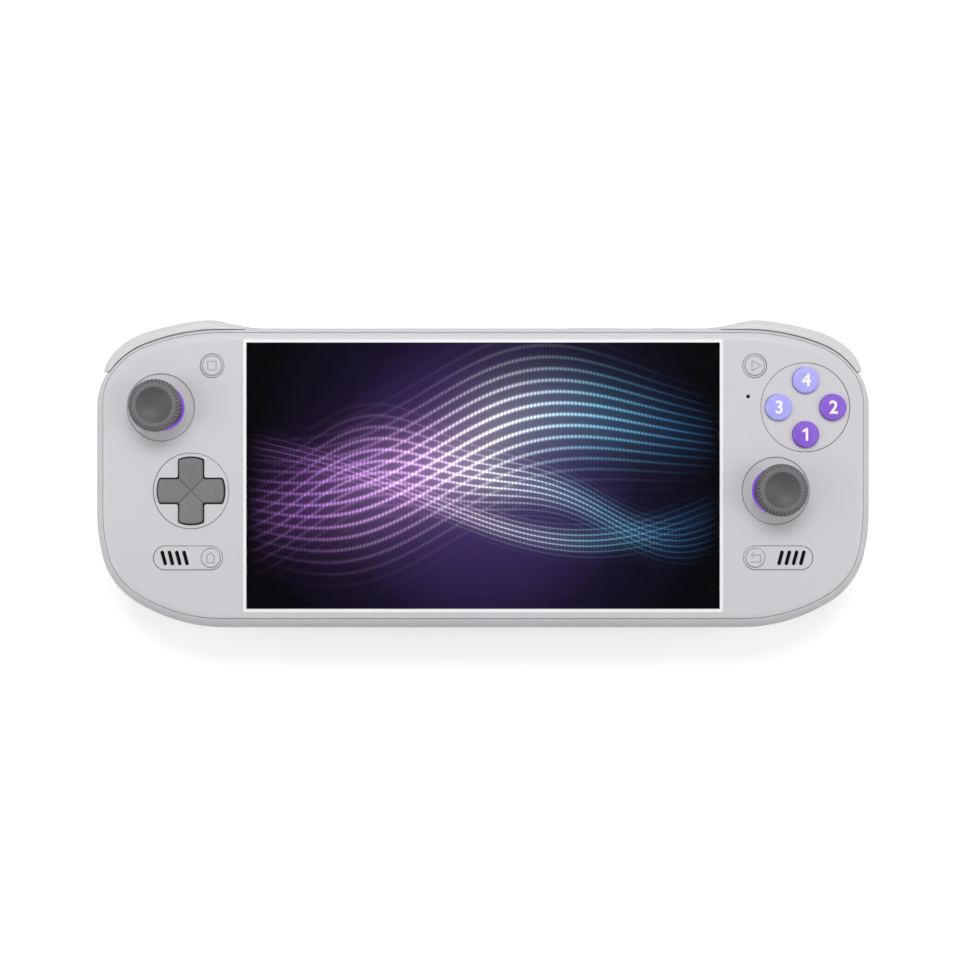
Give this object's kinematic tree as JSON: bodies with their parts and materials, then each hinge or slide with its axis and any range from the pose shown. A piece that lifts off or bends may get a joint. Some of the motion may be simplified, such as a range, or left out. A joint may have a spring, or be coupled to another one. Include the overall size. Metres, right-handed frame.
{
  "type": "handheld game console",
  "caption": "Landscape handheld game console: wide screen, tilting thumb sticks, cross pad, round buttons, shoulder bumpers and triggers, grips, fan and ports.",
  "frame": {"origin": "under the middle of the console's footprint, at the height of the grips it rests on", "axes": "+X to the console's right, +Y to its top edge with the shoulder buttons, +Z out of the screen"},
  "size_m": [0.2294, 0.0913, 0.032],
  "materials": {
    "body_plastic": "fine satin moulded, light warm grey",
    "shoulder_plastic": "fine satin moulded, light grey",
    "screen_trim": "white, smooth",
    "screen_glass": "clear cover glass",
    "display": "dark display",
    "bracket_metal": "stamped sheet",
    "stick_rubber": "grey soft rubber, knurled rim",
    "stick_plastic": "black moulded",
    "light_ring": "translucent purple light guide",
    "dpad_plastic": "grey satin moulded",
    "button_lilac": "periwinkle, smooth",
    "button_purple": "purple, smooth",
    "mat_rubber": "silicone",
    "steel": "plain steel",
    "jack_plastic": "black moulded",
    "board_green": "glass-fibre board",
    "battery_wrap": "foil pouch in black wrap",
    "heat_sink_metal": "copper-coloured metal"
  },
  "bodies": {
    "housing": {"battery": "battery_wrap", "board_screws": "steel", "card_reader": "steel", "display_bracket": "bracket_metal", "display_panel": "display", "dpad_bezel": "body_plastic", "dpad_mat": "mat_rubber", "dpad_seat": "stick_plastic", "face_button_mat": "mat_rubber", "face_button_plate": "body_plastic", "fan_housing": "jack_plastic", "front_cover": "body_plastic", "headphone_jack": "jack_plastic", "heat_sink": "heat_sink_metal", "housing_screws": "steel", "left_button_board": "board_green", "left_speaker_grille": "body_plastic", "left_stick_base": "stick_plastic", "left_stick_bezel": "body_plastic", "mainboard": "board_green", "port_board": "board_green", "rear_cover": "body_plastic", "right_button_board": "board_green", "right_speaker_grille": "body_plastic", "right_stick_base": "stick_plastic", "right_stick_bezel": "body_plastic", "screen_glass": "screen_glass", "screen_trim": "screen_trim", "small_button_collars": "body_plastic", "speakers": "jack_plastic", "stick_light_rings": "light_ring", "trigger_pins": "steel", "trigger_springs": "steel", "usb_port": "steel", "vibration_motors": "steel"},
    "fan_rotor": {"fan_rotor": "jack_plastic"},
    "dpad_ball": {"dpad_ball": "steel"},
    "dpad": {"dpad": "dpad_plastic"},
    "left_bumper": {"left_bumper": "shoulder_plastic"},
    "right_bumper": {"right_bumper": "shoulder_plastic"},
    "left_trigger": {"left_trigger": "shoulder_plastic"},
    "right_trigger": {"right_trigger": "shoulder_plastic"},
    "power_button": {"power_button": "body_plastic"},
    "volume_rocker": {"volume_rocker": "body_plastic"},
    "left_stick_gimbal": {"left_stick_gimbal": "stick_plastic"},
    "left_stick_carrier": {"left_stick_carrier": "stick_plastic"},
    "left_stick": {"left_stick_stem": "stick_plastic", "left_stick_cap": "stick_rubber"},
    "right_stick_gimbal": {"right_stick_gimbal": "stick_plastic"},
    "right_stick_carrier": {"right_stick_carrier": "stick_plastic"},
    "right_stick": {"right_stick_stem": "stick_plastic", "right_stick_cap": "stick_rubber"},
    "face_button_top": {"face_button_top": "button_lilac"},
    "face_button_right": {"face_button_right": "button_purple"},
    "face_button_bottom": {"face_button_bottom": "button_purple"},
    "face_button_left": {"face_button_left": "button_lilac"},
    "select_button": {"select_button": "body_plastic"},
    "start_button": {"start_button": "body_plastic"},
    "home_button": {"home_button": "body_plastic"},
    "back_button": {"back_button": "body_plastic"}
  },
  "joints": [
    {"name": "fan_spin", "type": "hinge", "parent": "housing", "child": "fan_rotor", "pos_m": [-0.03, 0.01436, 0.0087], "axis": [0, 0, 1], "continuous": true},
    {"name": "left_stick_tilt_y", "type": "hinge", "parent": "housing", "child": "left_stick_gimbal", "pos_m": [-0.0949, 0.01946, 0.0146], "axis": [1, 0, 0], "range_deg": [-18, 18], "stiffness_Nm_per_rad": 0.03},
    {"name": "left_stick_tilt_x", "type": "hinge", "parent": "left_stick_gimbal", "child": "left_stick_carrier", "pos_m": [-0.0949, 0.01946, 0.0146], "axis": [0, 1, 0], "range_deg": [-18, 18], "stiffness_Nm_per_rad": 0.03},
    {"name": "left_stick_click", "type": "slide", "parent": "left_stick_carrier", "child": "left_stick", "axis": [0, 0, -1], "range_m": [0, 0.0003], "stiffness_N_per_m": 3000},
    {"name": "right_stick_tilt_y", "type": "hinge", "parent": "housing", "child": "right_stick_gimbal", "pos_m": [0.0862, -0.0051, 0.0146], "axis": [1, 0, 0], "range_deg": [-18, 18], "stiffness_Nm_per_rad": 0.03},
    {"name": "right_stick_tilt_x", "type": "hinge", "parent": "right_stick_gimbal", "child": "right_stick_carrier", "pos_m": [0.0862, -0.0051, 0.0146], "axis": [0, 1, 0], "range_deg": [-18, 18], "stiffness_Nm_per_rad": 0.03},
    {"name": "right_stick_click", "type": "slide", "parent": "right_stick_carrier", "child": "right_stick", "axis": [0, 0, -1], "range_m": [0, 0.0003], "stiffness_N_per_m": 3000},
    {"name": "dpad_tilt_y", "type": "hinge", "parent": "housing", "child": "dpad_ball", "pos_m": [-0.086, -0.00513, 0.0193], "axis": [1, 0, 0], "range_deg": [-4, 4], "stiffness_Nm_per_rad": 0.2},
    {"name": "dpad_tilt_x", "type": "hinge", "parent": "dpad_ball", "child": "dpad", "pos_m": [-0.086, -0.00513, 0.0193], "axis": [0, 1, 0], "range_deg": [-4, 4], "stiffness_Nm_per_rad": 0.2},
    {"name": "face_press_top", "type": "slide", "parent": "housing", "child": "face_button_top", "axis": [0, 0, -1], "range_m": [0, 0.0009], "stiffness_N_per_m": 600},
    {"name": "face_press_right", "type": "slide", "parent": "housing", "child": "face_button_right", "axis": [0, 0, -1], "range_m": [0, 0.0009], "stiffness_N_per_m": 600},
    {"name": "face_press_bottom", "type": "slide", "parent": "housing", "child": "face_button_bottom", "axis": [0, 0, -1], "range_m": [0, 0.0009], "stiffness_N_per_m": 600},
    {"name": "face_press_left", "type": "slide", "parent": "housing", "child": "face_button_left", "axis": [0, 0, -1], "range_m": [0, 0.0009], "stiffness_N_per_m": 600},
    {"name": "select_press", "type": "slide", "parent": "housing", "child": "select_button", "axis": [0, 0, -1], "range_m": [0, 0.0004], "stiffness_N_per_m": 1500},
    {"name": "start_press", "type": "slide", "parent": "housing", "child": "start_button", "axis": [0, 0, -1], "range_m": [0, 0.0004], "stiffness_N_per_m": 1500},
    {"name": "home_press", "type": "slide", "parent": "housing", "child": "home_button", "axis": [0, 0, -1], "range_m": [0, 0.0004], "stiffness_N_per_m": 1500},
    {"name": "back_press", "type": "slide", "parent": "housing", "child": "back_button", "axis": [0, 0, -1], "range_m": [0, 0.0004], "stiffness_N_per_m": 1500},
    {"name": "right_bumper_press", "type": "hinge", "parent": "housing", "child": "right_bumper", "pos_m": [0.07478, 0.03825, 0.0134], "axis": [0, 0, -1], "range_deg": [0, 0.5], "stiffness_Nm_per_rad": 1.5},
    {"name": "left_bumper_press", "type": "hinge", "parent": "housing", "child": "left_bumper", "pos_m": [-0.07478, 0.03825, 0.0134], "axis": [0, 0, 1], "range_deg": [0, 0.5], "stiffness_Nm_per_rad": 1.5},
    {"name": "right_trigger_pull", "type": "hinge", "parent": "housing", "child": "right_trigger", "pos_m": [0.0884, 0.03386, 0.0109], "axis": [-1, 0, 0], "range_deg": [0, 14], "stiffness_Nm_per_rad": 0.08},
    {"name": "left_trigger_pull", "type": "hinge", "parent": "housing", "child": "left_trigger", "pos_m": [-0.0884, 0.03386, 0.0109], "axis": [-1, 0, 0], "range_deg": [0, 14], "stiffness_Nm_per_rad": 0.08},
    {"name": "power_press", "type": "slide", "parent": "housing", "child": "power_button", "axis": [0, -1, 0], "range_m": [0, 0.00025], "stiffness_N_per_m": 3000},
    {"name": "volume_rock", "type": "hinge", "parent": "housing", "child": "volume_rocker", "pos_m": [0.03322, 0.04056, 0.0158], "axis": [0, 0, 1], "range_deg": [-1.5, 1.5], "stiffness_Nm_per_rad": 0.3}
  ]
}
